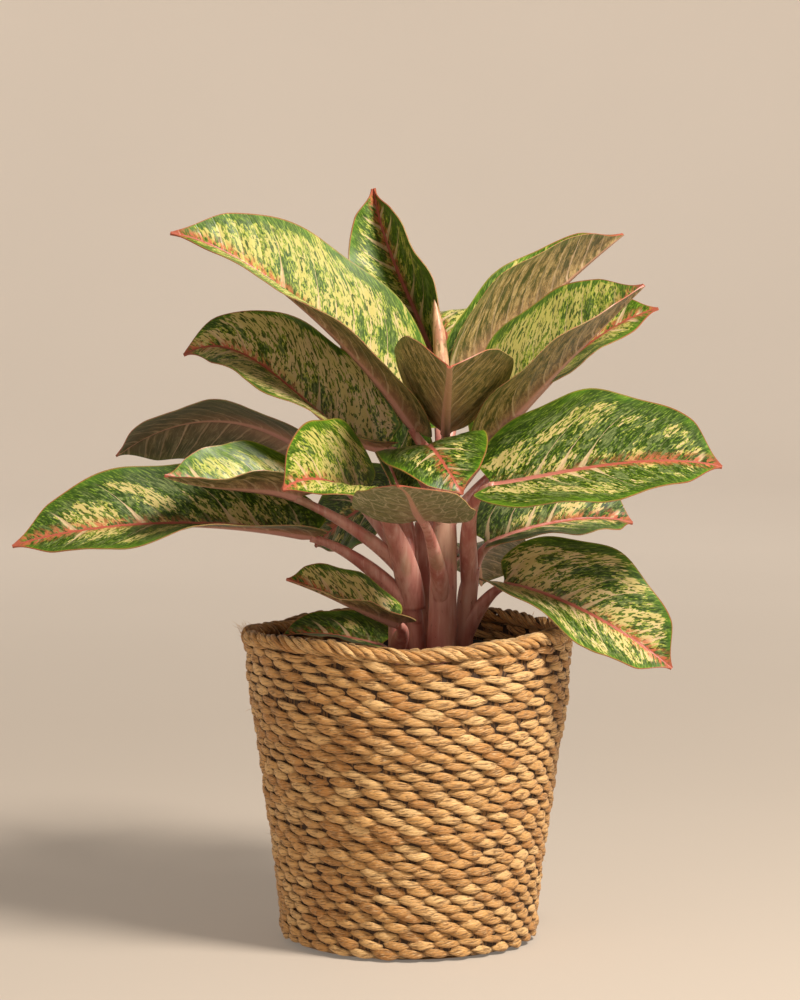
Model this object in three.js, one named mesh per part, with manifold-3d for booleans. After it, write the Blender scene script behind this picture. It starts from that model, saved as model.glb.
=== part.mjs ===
// A bushy foliage plant with cream-splashed leaves and pink stalks, in a nursery pot
// that stands inside a round basket of twined seagrass.
// Millimetres, +Z up. The origin is the centre of the basket's foot, on the surface.
// +X is the viewer's right and +Y points away from the viewer.

import * as THREE from 'three';
import { mergeVertices } from 'three/addons/utils/BufferGeometryUtils.js';
import Module from 'manifold-3d';

const wasm = await Module();
wasm.setup();

// Clearance between pieces that touch
const GAP = 0.3;

// Basket wall: height and outer radius, from the foot to the top row
const WALL_PROFILE = [
  [0, 88], [3, 93], [8, 97.5], [18, 96.5], [59, 101], [99, 106.5], [139, 112], [180, 119], [222, 122],
];
const WALL_THICKNESS = 7;
// Heights of the rings of the plain inner wall, and how far its foot is drawn in
const INNER_HEIGHTS = [222, 180, 99, 22];
const INNER_FOOT_INSET = 13;
const WALL_TOP = 222;
const FLOOR_THICKNESS = 8;
const FIRST_ROW = 3;
const ROWS = 33;
const STITCHES = 32;
// Each row of stitches is turned by this share of a stitch against the row below
const STITCH_SLANT = 0.75;
const STITCH_CREST = 1.6;
const STITCH_GROOVE = 1.2;

// Rolled border on top of the wall
const RIM_RADIUS = 118.5;
const RIM_ROPE_RADIUS = 5.2;
const RIM_PLY_HEIGHT = 1.5;
// The rope is pressed flat where it lies on the wall
const RIM_SINK = 0.8;
const RIM_PLIES = 3;
const RIM_TURNS = 10;
const RIM_STEPS = 80;
const RIM_SIDES = 9;
// How far the mouth rises above its mean height, every 30 degrees from +X towards +Y
const RIM_RISE = [2, 0, 1, 0, -1, -4, 0, 3, 4.5, -0.5, 3.5, 6];
// The rows below this height stay level
const LEVEL_HEIGHT = 165;

// Nursery pot
const POT_FOOT_RADIUS = 76;
const POT_NECK_RADIUS = 97;
const POT_LIP_RADIUS = 101.5;
const POT_HEIGHT = 203;
const POT_LIP_DROP = 16;
const POT_WALL = 1.8;
const POT_LIP_DRAFT = 0.5;
const POT_SEGMENTS = 36;

// Potting mix
const SOIL_DEPTH_BELOW_LIP = 20;
// Lumps: their height, their waves from the middle outwards and round it
const SOIL_LUMP = 2.2;
const LUMP_WAVE = 0.21;
const LUMP_CROSS_WAVE = 0.13;
// The soil lies a little lower against the pot than in the middle
const SOIL_CROWN = 3;
const SOIL_CLEARANCE = 0.5;
// Shares of the radius at the rings of the soil's top, with each ring's rise and share of lumps
const SOIL_RINGS = [[0.8, 0, 1], [0.55, 2, 1], [0.28, 3, 0.4]];

// Blades
const BLADE_STEPS = 12;
const HALF_STEPS = 2;
// Share by which the steps are drawn together at the base and the tip
const STEP_EASE = 0.6;
const RIB_THICKNESS = 2.0;
const MARGIN_THICKNESS = 0.9;
const BASE_HALF_WIDTH = 4;
const TIP_HALF_WIDTH = 0.8;
// Exponents of the outline: rounded base, drawn-out tip
const BASE_ROUNDNESS = 0.5;
const TIP_SHARPNESS = 0.7;
const CUSP_DEPTH = 0.65;
const CUSP_START = 0.86;
// How far the rounded lobes reach back past the stalk
const LOBE = 14;
const LOBE_FADE = 5;
// Waves of the margin from base to tip
const WAVES = 2.5;
// The right margin's waves are shifted against the left margin's
const WAVE_SHIFT = 1.7;
const CURL_STEPS = 6;

// Stalks
const STALK_TIP_RADIUS = 3.6;
const STALK_SHEATH_RADIUS = 6.4;
// Broader sheaths at the foot of some stalks
const BROAD_SHEATHS = { front_left: 9.5, long_left: 7.6, right_low: 7.2 };
// Shares of a stalk between which its sheath narrows
const SHEATH_END = [0.25, 0.95];
// Length that a stalk runs up along its cane, and straight into its blade, as shares of its reach
const STALK_RISE = 0.2;
const STALK_APPROACH = 0.3;
const STALK_SIDES = 6;
const STALK_STEPS = 6;
const CANE_SIDES = 10;
const CANE_STEPS = 8;
const HOLE_SIDES = 16;

// Canes: points from inside the soil to the crown, with the radius at each
const SHOOTS = {
  center: [[24, -4, 11], [24, -4, 11], [25, -4, 10.5], [26, -3, 9.5], [26, 0, 6]],
  right: [[38, 13, 8], [38, 13, 8], [40, 13, 8], [43, 12, 7.5], [47, 10, 6]],
  left: [[-8, -8, 7], [-8, -8, 7], [-9, -9, 6.5], [-10, -12, 5.5], [-11, -16, 4]],
  mid: [[6, 8, 8], [6, 8, 8], [4, 7, 8], [1, 5, 7], [-4, 3, 5]],
  back: [[11, 36, 9], [11, 36, 9], [10, 37, 9], [10, 40, 8], [11, 44, 6.5]],
};
// Depth of the holes that the canes stand in
const CANE_SUNK = 14;
// Heights of the cane points above the soil
const CANE_HEIGHTS = {
  center: [-CANE_SUNK, 12, 55, 110, 175],
  right: [-CANE_SUNK, 10, 30, 55, 85],
  left: [-CANE_SUNK, 10, 25, 40, 52],
  mid: [-CANE_SUNK, 10, 35, 65, 100],
  back: [-CANE_SUNK, 10, 40, 75, 115],
};

// Young leaf, still rolled: points along it and its radius at each
const SPEAR_POINTS = [[24, -2, 398], [24, 4, 424], [22, 10, 450], [19, 16, 475]];
const SPEAR_RADII = [[0, 3.5], [0.3, 6], [0.7, 4.5], [1, 0.8]];
const SPEAR_STEPS = 7;
const SPEAR_SIDES = 8;

// Leaves: name, shoot, height on the cane where the stalk starts, four points along the rib,
// full width, then for the left and the right half (seen from base to tip) the rise at the
// base, the rise at the tip and the curl towards the margin in degrees, and last the margin's
// wave and where it starts
const LEAVES = [
  ['crown_back', 'center', 365, [[21, 35, 420], [5, 52, 464], [-13, 66, 506], [-27, 78, 556]], 88,
    [-12, -12, 0], [100, 100, 30], 2.5, 0.3],
  ['upper_left', 'center', 340, [[5, -5, 379], [-42, -12, 439], [-108, -18, 496], [-174, -24, 526]], 108,
    [28, -10, -10], [72, 72, 0], 2.5, 1.2],
  ['mid_left', 'center', 310, [[-15, -2, 367], [-64, 2, 390], [-114, 6, 431], [-167, 8, 435]], 104,
    [25, -25, -10], [78, 50, 0], 2.5, 2.0],
  ['inner_left', 'mid', 280, [[-6, 24, 328], [-21, 42, 364], [-37, 58, 402], [-51, 68, 442]], 78,
    [40, 40, -10], [50, 50, -10], 1.5, 0.4],
  ['dark_left', 'mid', 270, [[-65, 35, 353], [-116, 50, 380], [-170, 60, 381], [-222, 66, 355]], 92,
    [28, 12, 0], [-55, -55, 0], 2.5, 0.8],
  ['long_left', 'mid', 235, [[-69, -5, 301], [-142, -12, 311], [-219, -18, 310], [-292, -22, 296]], 100,
    [22, -32, 0], [62, 62, 0], 3.0, 1.5],
  ['small_left', 'mid', 262, [[-80, -25, 332], [-110, -38, 340], [-143, -50, 344], [-177, -58, 352]], 76,
    [36, 5, 0], [62, 50, 0], 1.5, 0.2],
  ['front_left', 'mid', 246, [[-30, -43, 335], [-49, -70, 345], [-69, -100, 353], [-89, -128, 348]], 95,
    [14, -25, 0], [82, 82, 0], 2.0, 0.9],
  ['front', 'center', 240, [[10, -74, 321], [4, -109, 333], [0, -142, 346], [-8, -172, 356]], 88,
    [-2, -2, 0], [-3, 3, 0], 2.0, 2.4],
  ['front_right', 'center', 296, [[12, -28, 366], [15, -64, 374], [25, -104, 364], [38, -124, 344]], 80,
    [15, 15, 0], [-8, -8, 0], 1.5, 0.6],
  ['crown_front', 'center', 330, [[27, -18, 378], [27, -62, 399], [28, -106, 420], [28, -150, 437]], 114,
    [33, 33, 0], [49, 49, 0], 2.0, 1.0],
  ['upper_right_back', 'center', 360, [[44, 28, 415], [83, 52, 454], [120, 72, 488], [162, 86, 522]], 92,
    [40, 40, 0], [85, 50, 0], 2.0, 0.0],
  ['upper_right', 'center', 320, [[62, -4, 370], [95, -18, 412], [131, -30, 450], [170, -40, 489]], 108,
    [76, 76, 0], [22, 0, 0], 2.0, 2.6],
  ['upper_right_low', 'center', 335, [[68, 34, 376], [105, 32, 415], [141, 28, 447], [185, 22, 469]], 88,
    [50, 40, 0], [10, -25, 0], 2.0, 1.7],
  ['right_big', 'right', 262, [[59, -30, 342], [110, -42, 352], [168, -52, 361], [227, -58, 358]], 116,
    [68, 68, 0], [-15, -25, 0], 2.5, 0.5],
  ['right_mid', 'right', 242, [[58, 32, 291], [92, 44, 302], [132, 55, 308], [170, 64, 304]], 92,
    [78, 70, 0], [8, -15, 0], 2.0, 1.1],
  ['right_low', 'right', 218, [[70, 0, 265], [97, -20, 261], [140, -40, 244], [192, -55, 210]], 100,
    [70, 65, -5], [15, -28, 0], 2.5, 0.1],
  ['low_left', 'left', 215, [[-7, -45, 242], [-31, -58, 253], [-59, -70, 267], [-88, -80, 279]], 62,
    [20, -10, 0], [50, 50, 0], 1.5, 0.4],
  ['in_basket', 'left', 204, [[-20, 0, 219], [-44, 6, 224], [-70, 10, 227], [-96, 12, 224]], 56,
    [5, 5, 0], [40, 30, 0], 1.0, 0.7],
  ['behind_left', 'mid', 262, [[-14, 56, 325], [-32, 66, 317], [-52, 74, 303], [-72, 80, 284]], 76,
    [-45, -45, 0], [60, 60, 0], 1.5, 0.9],
  ['back_top', 'back', 300, [[34, 74, 396], [32, 110, 430], [24, 148, 452], [12, 186, 456]], 90,
    [30, 10, -10], [30, 10, -10], 2.0, 0.5],
  ['back_left', 'back', 270, [[2, 100, 352], [-38, 126, 366], [-76, 152, 362], [-108, 178, 342]], 88,
    [25, 5, -10], [35, 10, -10], 2.0, 1.4],
  ['back_right', 'back', 262, [[66, 76, 344], [96, 104, 358], [122, 134, 360], [142, 168, 346]], 90,
    [30, 5, -10], [25, 5, -10], 2.0, 2.2],
  ['back_low', 'back', 232, [[34, 78, 276], [46, 114, 280], [54, 150, 268], [58, 182, 242]], 84,
    [25, 5, -10], [25, 5, -10], 2.0, 0.0],
];

// Cubic curve through four points that are spread evenly along it
function curveThrough(points) {
  const [a, b, c, d] = points.map((p) => new THREE.Vector3(...p));
  const first = new THREE.Vector3()
    .addScaledVector(a, -5 / 6).addScaledVector(b, 3).addScaledVector(c, -1.5).addScaledVector(d, 1 / 3);
  const second = new THREE.Vector3()
    .addScaledVector(a, 1 / 3).addScaledVector(b, -1.5).addScaledVector(c, 3).addScaledVector(d, -5 / 6);
  return new THREE.CubicBezierCurve3(a, first, second, d);
}

// Value at x on a polyline of [x, value] pairs
function lookUp(table, x) {
  let i = 0;
  while (i < table.length - 2 && x > table[i + 1][0]) {
    i += 1;
  }
  const [x0, y0] = table[i];
  const [x1, y1] = table[i + 1];
  return y0 + ((y1 - y0) * (x - x0)) / (x1 - x0);
}

// Rise of the mouth at an angle, eased between the values of RIM_RISE
function rimRise(angle) {
  const count = RIM_RISE.length;
  const turns = THREE.MathUtils.euclideanModulo(angle / (2 * Math.PI), 1) * count;
  const i = Math.floor(turns);
  const ease = (1 - Math.cos(Math.PI * (turns - i))) / 2;
  return THREE.MathUtils.lerp(RIM_RISE[i % count], RIM_RISE[(i + 1) % count], ease);
}

// Height of a point of the wall, once the mouth's rise is added
function wallHeight(z, angle) {
  return z + rimRise(angle) * THREE.MathUtils.smoothstep(z, LEVEL_HEIGHT, WALL_TOP);
}

function wallPoint(z, inset, angle) {
  const radius = lookUp(WALL_PROFILE, z) - inset;
  return new THREE.Vector3(radius * Math.cos(angle), radius * Math.sin(angle), wallHeight(z, angle));
}

function geometryFrom(positions, triangles) {
  const geometry = new THREE.BufferGeometry();
  const numbers = positions.flatMap((p) => [p.x, p.y, p.z]);
  geometry.setAttribute('position', new THREE.Float32BufferAttribute(numbers, 3));
  geometry.setIndex(triangles.flat());
  return geometry;
}

// Closed surface over a chain of rings that run counter-clockwise seen from outside the first
// ring; a ring of one point is a pole, and peaks[i], where given, are points between ring i and
// ring i + 1 that each stitch rises to
function surfaceOverRings(rings, peaks = []) {
  const positions = [];
  const starts = rings.map((ring) => {
    positions.push(...ring);
    return positions.length - ring.length;
  });
  const triangles = [];
  for (let i = 0; i < rings.length - 1; i += 1) {
    const low = rings[i];
    const high = rings[i + 1];
    const count = Math.max(low.length, high.length);
    for (let j = 0; j < count; j += 1) {
      const next = (j + 1) % count;
      const a = starts[i] + (low.length > 1 ? j : 0);
      const b = starts[i] + (low.length > 1 ? next : 0);
      const c = starts[i + 1] + (high.length > 1 ? next : 0);
      const d = starts[i + 1] + (high.length > 1 ? j : 0);
      if (peaks[i]) {
        const peak = positions.length;
        positions.push(peaks[i][j]);
        triangles.push([a, b, peak], [b, c, peak], [c, d, peak], [d, a, peak]);
      } else {
        if (low.length > 1) {
          triangles.push([a, b, c]);
        }
        if (high.length > 1) {
          triangles.push([a, c, d]);
        }
      }
    }
  }
  return geometryFrom(positions, triangles);
}

function ringOfPoints(count, pointAt) {
  return Array.from({ length: count }, (_, j) => pointAt((2 * Math.PI * j) / count));
}

function toManifold(geometry) {
  const bare = geometry.clone();
  bare.deleteAttribute('normal');
  bare.deleteAttribute('uv');
  const merged = mergeVertices(bare, 1e-4);
  return new wasm.Manifold(new wasm.Mesh({
    numProp: 3,
    vertProperties: new Float32Array(merged.attributes.position.array),
    triVerts: new Uint32Array(merged.index.array),
  }));
}

function fromManifold(solid) {
  const mesh = solid.getMesh();
  const geometry = new THREE.BufferGeometry();
  geometry.setAttribute('position', new THREE.Float32BufferAttribute(mesh.vertProperties, 3));
  geometry.setIndex(Array.from(mesh.triVerts));
  return geometry;
}

// Basket body: stitched outer wall, plain inner wall and floor
function makeBasketBody() {
  const stitch = (2 * Math.PI) / STITCHES;
  const rowHeight = (WALL_TOP - FIRST_ROW) / ROWS;
  const turnOf = (row) => -row * STITCH_SLANT * stitch;
  const ring = (z, inset, turn) => ringOfPoints(STITCHES, (angle) => wallPoint(z, inset, angle + turn));
  const rings = [[new THREE.Vector3(0, 0, 0)], ring(0, 0, 0)];
  const peaks = [];
  for (let row = 0; row <= ROWS; row += 1) {
    const z = FIRST_ROW + row * rowHeight;
    rings.push(ring(z, STITCH_GROOVE, turnOf(row)));
    if (row < ROWS) {
      const crestTurn = (turnOf(row) + turnOf(row + 1) + stitch) / 2;
      peaks[rings.length - 1] = ring(z + rowHeight / 2, -STITCH_CREST, crestTurn);
    }
  }
  const lastTurn = turnOf(ROWS);
  for (const z of INNER_HEIGHTS) {
    rings.push(ring(z, WALL_THICKNESS, lastTurn));
  }
  rings.push(ring(FLOOR_THICKNESS, INNER_FOOT_INSET, lastTurn));
  rings.push([new THREE.Vector3(0, 0, FLOOR_THICKNESS)]);
  return surfaceOverRings(rings, peaks);
}

// Basket rim: a rope of twisted plies that lies on the wall's top
function makeBasketRim() {
  const seat = WALL_TOP + 2 * GAP;
  const middle = seat + RIM_ROPE_RADIUS - RIM_SINK;
  const rings = Array.from({ length: RIM_STEPS }, (_, i) => {
    const angle = (-2 * Math.PI * i) / RIM_STEPS;
    const out = new THREE.Vector3(Math.cos(angle), Math.sin(angle), 0);
    const centre = out.clone().multiplyScalar(RIM_RADIUS).setZ(middle + rimRise(angle));
    return ringOfPoints(RIM_SIDES, (side) => {
      const ply = Math.abs(Math.cos((RIM_PLIES * (side - RIM_TURNS * angle)) / 2));
      const radius = RIM_ROPE_RADIUS + RIM_PLY_HEIGHT * ply;
      const point = centre.clone().addScaledVector(out, radius * Math.cos(side));
      return point.setZ(Math.max(centre.z + radius * Math.sin(side), seat + rimRise(angle)));
    });
  });
  rings.push(rings[0]);
  return mergeVertices(surfaceOverRings(rings), 1e-4);
}

const potFloor = FLOOR_THICKNESS + GAP;
const potTop = potFloor + POT_HEIGHT;
const lipFoot = potTop - POT_LIP_DROP;
const soilTop = potTop - SOIL_DEPTH_BELOW_LIP;

// Radius of the pot's tapered outer wall at a height
function potRadius(z) {
  return THREE.MathUtils.mapLinear(z, potFloor, lipFoot, POT_FOOT_RADIUS, POT_NECK_RADIUS);
}

function turned(profile) {
  const points = profile.map(([radius, z]) => new THREE.Vector2(radius, z));
  return new THREE.LatheGeometry(points, POT_SEGMENTS).rotateX(Math.PI / 2);
}

function makeNurseryPot() {
  const inner = potFloor + POT_WALL;
  return turned([
    [0, potFloor], [POT_FOOT_RADIUS, potFloor], [potRadius(lipFoot), lipFoot],
    [POT_LIP_RADIUS - POT_LIP_DRAFT, lipFoot], [POT_LIP_RADIUS, potTop],
    [POT_LIP_RADIUS - POT_WALL, potTop],
    [POT_LIP_RADIUS - POT_WALL - POT_LIP_DRAFT, lipFoot + POT_WALL],
    [potRadius(lipFoot) - POT_WALL, lipFoot], [potRadius(inner) - POT_WALL, inner], [0, inner],
  ]);
}

// Potting mix: fills the pot, lumpy on top, with a plain hole for each shoot
function makePottingMix() {
  const foot = potFloor + POT_WALL + GAP;
  const insideWall = (z) => potRadius(z) - POT_WALL - SOIL_CLEARANCE;
  const lump = (radius, angle) => SOIL_LUMP * Math.sin(radius * LUMP_WAVE + 2 * angle)
    * Math.cos(3 * angle - radius * LUMP_CROSS_WAVE);
  const ring = (radius, z, lumps) => ringOfPoints(POT_SEGMENTS, (angle) => new THREE.Vector3(
    radius * Math.sin(angle), -radius * Math.cos(angle), z + lumps * lump(radius, angle)));
  const rings = [
    [new THREE.Vector3(0, 0, foot)],
    ring(insideWall(foot), foot, 0),
    ring(insideWall(soilTop), soilTop - SOIL_CROWN, 0),
    ...SOIL_RINGS.map(([share, rise, lumps]) => ring(insideWall(soilTop) * share, soilTop + rise, lumps)),
    [new THREE.Vector3(0, 0, soilTop + SOIL_CROWN)],
  ];
  let soil = toManifold(surfaceOverRings(rings));
  for (const [[x, y, radius]] of Object.values(SHOOTS)) {
    const clear = radius + 2 * GAP;
    const hole = new THREE.CylinderGeometry(clear, clear, 4 * CANE_SUNK, HOLE_SIDES)
      .rotateX(Math.PI / 2).translate(x, y, soilTop + CANE_SUNK - GAP);
    soil = soil.subtract(toManifold(hole));
  }
  return fromManifold(soil);
}

// Tapered tube along a curve, closed at both ends
function makeTube(curve, steps, sides, radiusAt) {
  const frames = curve.computeFrenetFrames(steps, false);
  const rings = [];
  for (let i = 0; i <= steps; i += 1) {
    const centre = curve.getPointAt(i / steps);
    const radius = radiusAt(i / steps);
    rings.push(ringOfPoints(sides, (angle) => centre.clone()
      .addScaledVector(frames.normals[i], radius * Math.cos(angle))
      .addScaledVector(frames.binormals[i], radius * Math.sin(angle))));
  }
  return surfaceOverRings([[curve.getPointAt(0)], ...rings, [curve.getPointAt(1)]]);
}

// Frame of a blade's rib: the point, the way to the tip, to the left and up, at a share t
function ribFrame(leaf, t) {
  const curve = curveThrough(leaf[3]);
  const point = curve.getPointAt(t);
  const along = curve.getTangentAt(t);
  const chord = curve.getPoint(1).sub(curve.getPoint(0));
  const level = new THREE.Vector3(-chord.y, chord.x, 0).normalize();
  const left = level.addScaledVector(along, -level.dot(along)).normalize();
  const up = new THREE.Vector3().crossVectors(along, left);
  return { point, along, left, up };
}

// Half width of a blade at a share t of its length
function halfWidth(width, t) {
  const widest = BASE_ROUNDNESS / (BASE_ROUNDNESS + TIP_SHARPNESS);
  const shape = (x) => x ** BASE_ROUNDNESS * (1 - x) ** TIP_SHARPNESS;
  const cusp = 1 - CUSP_DEPTH * THREE.MathUtils.smoothstep(t, CUSP_START, 1);
  const outline = (width / 2) * (shape(t) / shape(widest)) * cusp;
  return Math.max(outline, t < 0.5 ? BASE_HALF_WIDTH : TIP_HALF_WIDTH);
}

// Point on a blade's upper face; s runs from -1 at the right margin to 1 at the left margin
function bladePoint(leaf, t, s) {
  const [, , , , width, leftHalf, rightHalf, wave, phase] = leaf;
  const { point, along, left, up } = ribFrame(leaf, t);
  const [riseAtBase, riseAtTip, curl] = s > 0 ? leftHalf : rightHalf;
  const reach = Math.abs(s);
  let out = 0;
  let lift = 0;
  for (let k = 0; k < CURL_STEPS; k += 1) {
    const share = ((k + 0.5) / CURL_STEPS) * reach;
    const slope = THREE.MathUtils.degToRad(THREE.MathUtils.lerp(riseAtBase, riseAtTip, t) + curl * share);
    out += (Math.cos(slope) * reach) / CURL_STEPS;
    lift += (Math.sin(slope) * reach) / CURL_STEPS;
  }
  const size = halfWidth(width, t);
  const beyondStalk = THREE.MathUtils.clamp((size * reach - BASE_HALF_WIDTH) / LOBE, 0, 1);
  const ripple = wave * Math.sin(2 * Math.PI * WAVES * t + phase + (s > 0 ? 0 : WAVE_SHIFT)) * reach ** 2
    * Math.sin(Math.PI * t);
  return point
    .addScaledVector(left, Math.sign(s) * out * size)
    .addScaledVector(up, lift * size + ripple)
    .addScaledVector(along, -LOBE * reach * (1 - t) ** LOBE_FADE * beyondStalk);
}

// Share of a blade's length at a step: the steps are shorter near the base and the tip
function bladeShare(step) {
  const even = step / BLADE_STEPS;
  return THREE.MathUtils.lerp(even, (1 - Math.cos(Math.PI * even)) / 2, STEP_EASE);
}

// Blade of one leaf: upper and lower faces with the same split into triangles, which runs
// from the margin forward to the rib in both halves
function makeBlade(leaf) {
  const across = 2 * HALF_STEPS;
  const tops = [];
  for (let i = 0; i <= BLADE_STEPS; i += 1) {
    const t = bladeShare(i);
    tops.push(Array.from({ length: across + 1 }, (_, j) => bladePoint(leaf, t, 1 - (2 * j) / across)));
  }
  const at = (i, j) => tops[THREE.MathUtils.clamp(i, 0, BLADE_STEPS)][THREE.MathUtils.clamp(j, 0, across)];
  // The first row takes the second row's direction, because the lobes reach back past it
  const under = tops.map((row, i) => row.map((top, j) => {
    const k = Math.max(i, 1);
    const along = at(k + 1, j).clone().sub(at(k - 1, j));
    const side = at(k, j + 1).clone().sub(at(k, j - 1));
    const down = new THREE.Vector3().crossVectors(along, side).normalize();
    const ribThickness = THREE.MathUtils.lerp(RIB_THICKNESS, MARGIN_THICKNESS, bladeShare(i));
    const share = Math.abs(1 - (2 * j) / across);
    return top.clone().addScaledVector(down, THREE.MathUtils.lerp(ribThickness, MARGIN_THICKNESS, share));
  }));
  const positions = [...tops.flat(), ...under.flat()];
  const columns = across + 1;
  const shift = tops.length * columns;
  const triangles = [];
  const quad = (a, b, c, d) => triangles.push([a, b, c], [a, c, d]);
  for (let i = 0; i < BLADE_STEPS; i += 1) {
    for (let j = 0; j < across; j += 1) {
      const a = i * columns + j;
      const b = a + 1;
      const c = b + columns;
      const d = a + columns;
      const split = j < HALF_STEPS ? [[a, b, c], [a, c, d]] : [[a, b, d], [b, c, d]];
      triangles.push(...split);
      triangles.push(...split.map(([p, q, r]) => [p + shift, r + shift, q + shift]));
    }
    const left = i * columns;
    const right = left + across;
    quad(left, left + columns, left + columns + shift, left + shift);
    quad(right, right + shift, right + columns + shift, right + columns);
  }
  const last = BLADE_STEPS * columns;
  for (let j = 0; j < across; j += 1) {
    quad(j, j + shift, j + 1 + shift, j + 1);
    quad(last + j, last + j + 1, last + j + 1 + shift, last + j + shift);
  }
  return geometryFrom(positions, triangles);
}

function canePoints(shoot) {
  return SHOOTS[shoot].map(([x, y], i) => new THREE.Vector3(x, y, soilTop + CANE_HEIGHTS[shoot][i]));
}

// Stalk of one leaf, from the cane to just short of the blade
function makeStalk(leaf) {
  const [name, shoot, height] = leaf;
  const sheath = BROAD_SHEATHS[name] ?? STALK_SHEATH_RADIUS;
  const cane = canePoints(shoot);
  const x = lookUp(cane.map((p) => [p.z, p.x]), height);
  const y = lookUp(cane.map((p) => [p.z, p.y]), height);
  const start = new THREE.Vector3(x, y, height);
  const { point, along, up } = ribFrame(leaf, 0);
  const end = point.clone().addScaledVector(along, -2 * GAP).addScaledVector(up, -RIB_THICKNESS / 2);
  const reach = start.distanceTo(end);
  const risen = start.clone().add(new THREE.Vector3(0, 0, reach * STALK_RISE));
  const approach = end.clone().addScaledVector(along, -reach * STALK_APPROACH);
  const curve = new THREE.CubicBezierCurve3(start, risen, approach, end);
  return makeTube(curve, STALK_STEPS, STALK_SIDES,
    (t) => THREE.MathUtils.lerp(sheath, STALK_TIP_RADIUS, THREE.MathUtils.smoothstep(t, ...SHEATH_END)));
}

// Shoot: the cane with the stalks of its leaves, grown together
function makeShoot(shoot) {
  const curve = new THREE.CatmullRomCurve3(canePoints(shoot));
  const radii = SHOOTS[shoot].map(([, , radius], i) => [i / (SHOOTS[shoot].length - 1), radius]);
  const cane = makeTube(curve, CANE_STEPS, CANE_SIDES, (t) => lookUp(radii, t));
  const stalks = LEAVES.filter((leaf) => leaf[1] === shoot).map(makeStalk);
  const solids = [cane, ...stalks].map(toManifold);
  return fromManifold(solids.reduce((sum, solid) => sum.add(solid)));
}

function makeSpear() {
  return makeTube(curveThrough(SPEAR_POINTS), SPEAR_STEPS, SPEAR_SIDES, (t) => lookUp(SPEAR_RADII, t));
}

const material = (color, roughness) => new THREE.MeshStandardMaterial({ color, roughness, metalness: 0 });
const MATERIALS = {
  seagrass: material(0xb98a52, 0.8),
  pot: material(0x23282c, 0.55),
  soil: material(0x2a1d14, 0.95),
  stalk: material(0xb5706a, 0.45),
  leaf: material(0x6f8f3c, 0.4),
  spear: material(0xc99a7a, 0.45),
};

const plant = new THREE.Group();
function addPiece(name, geometry, surface) {
  geometry.computeVertexNormals();
  const mesh = new THREE.Mesh(geometry, surface);
  mesh.name = name;
  plant.add(mesh);
}

addPiece('basket_body', makeBasketBody(), MATERIALS.seagrass);
addPiece('basket_rim', makeBasketRim(), MATERIALS.seagrass);
addPiece('nursery_pot', makeNurseryPot(), MATERIALS.pot);
addPiece('potting_mix', makePottingMix(), MATERIALS.soil);
for (const shoot of Object.keys(SHOOTS)) {
  addPiece(`shoot_${shoot}`, makeShoot(shoot), MATERIALS.stalk);
}
for (const leaf of LEAVES) {
  addPiece(`leaf_${leaf[0]}`, makeBlade(leaf), MATERIALS.leaf);
}
addPiece('leaf_spear', makeSpear(), MATERIALS.spear);

export default plant;
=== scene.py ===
"""A painted aglaonema with cream-splashed leaves, in a basket of twined seagrass."""

import math
import random

import bpy
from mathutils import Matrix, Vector, noise


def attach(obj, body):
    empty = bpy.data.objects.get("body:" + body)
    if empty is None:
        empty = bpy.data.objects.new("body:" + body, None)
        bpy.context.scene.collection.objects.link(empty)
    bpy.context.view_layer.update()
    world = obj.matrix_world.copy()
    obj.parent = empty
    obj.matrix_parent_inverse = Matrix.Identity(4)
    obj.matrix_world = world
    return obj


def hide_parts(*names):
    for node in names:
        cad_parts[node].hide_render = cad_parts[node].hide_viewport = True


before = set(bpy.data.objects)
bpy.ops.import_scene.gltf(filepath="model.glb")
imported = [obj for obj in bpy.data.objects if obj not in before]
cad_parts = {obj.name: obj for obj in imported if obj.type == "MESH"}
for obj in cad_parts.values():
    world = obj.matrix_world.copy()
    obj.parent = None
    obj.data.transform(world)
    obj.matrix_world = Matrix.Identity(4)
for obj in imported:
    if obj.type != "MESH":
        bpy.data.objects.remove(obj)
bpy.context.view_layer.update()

MM = 0.001
TAU = 2 * math.pi

# Sizes of the solids, in mm

# The basket's wall: pairs of height and radius. Its rows are level up to LEVEL_HEIGHT and then follow
# the border, which rises and falls by RIM_RISE at even steps round the mouth.
WALL_PROFILE = [(0, 88), (3, 93), (8, 97.5), (18, 96.5), (59, 101), (99, 106.5), (139, 112),
                (180, 119), (222, 122)]
WALL_TOP = 222
FIRST_ROW = 3
ROWS = 33
STITCHES = 32
RIM_RADIUS = 118.5
RIM_RISE = [2, 0, 1, 0, -1, -4, 0, 3, 4.5, -0.5, 3.5, 6]
LEVEL_HEIGHT = 165

POT_FLOOR = 8.3
POT_TOP = 211.3
LIP_FOOT = 195.3
SOIL_TOP = 191.3

# Each blade is this wide where it leaves its stalk, has a lobe on both sides of it, and this number of
# waves along its margin.
BASE_HALF_WIDTH = 4
LOBE = 14
WAVES = 2.5

# Points along each cane: the height over the soil, the middle and the radius
SHOOTS = {
    "center": [(-14, 24, -4, 11), (12, 24, -4, 11), (55, 25, -4, 10.5), (110, 26, -3, 9.5), (175, 26, 0, 6)],
    "right": [(-14, 38, 13, 8), (10, 38, 13, 8), (30, 40, 13, 8), (55, 43, 12, 7.5), (85, 47, 10, 6)],
    "left": [(-14, -8, -8, 7), (10, -8, -8, 7), (25, -9, -9, 6.5), (40, -10, -12, 5.5), (52, -11, -16, 4)],
    "mid": [(-14, 6, 8, 8), (10, 6, 8, 8), (35, 4, 7, 8), (65, 1, 5, 7), (100, -4, 3, 5)],
    "back": [(-14, 11, 36, 9), (10, 11, 36, 9), (40, 10, 37, 9), (75, 10, 40, 8), (115, 11, 44, 6.5)],
}

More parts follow.
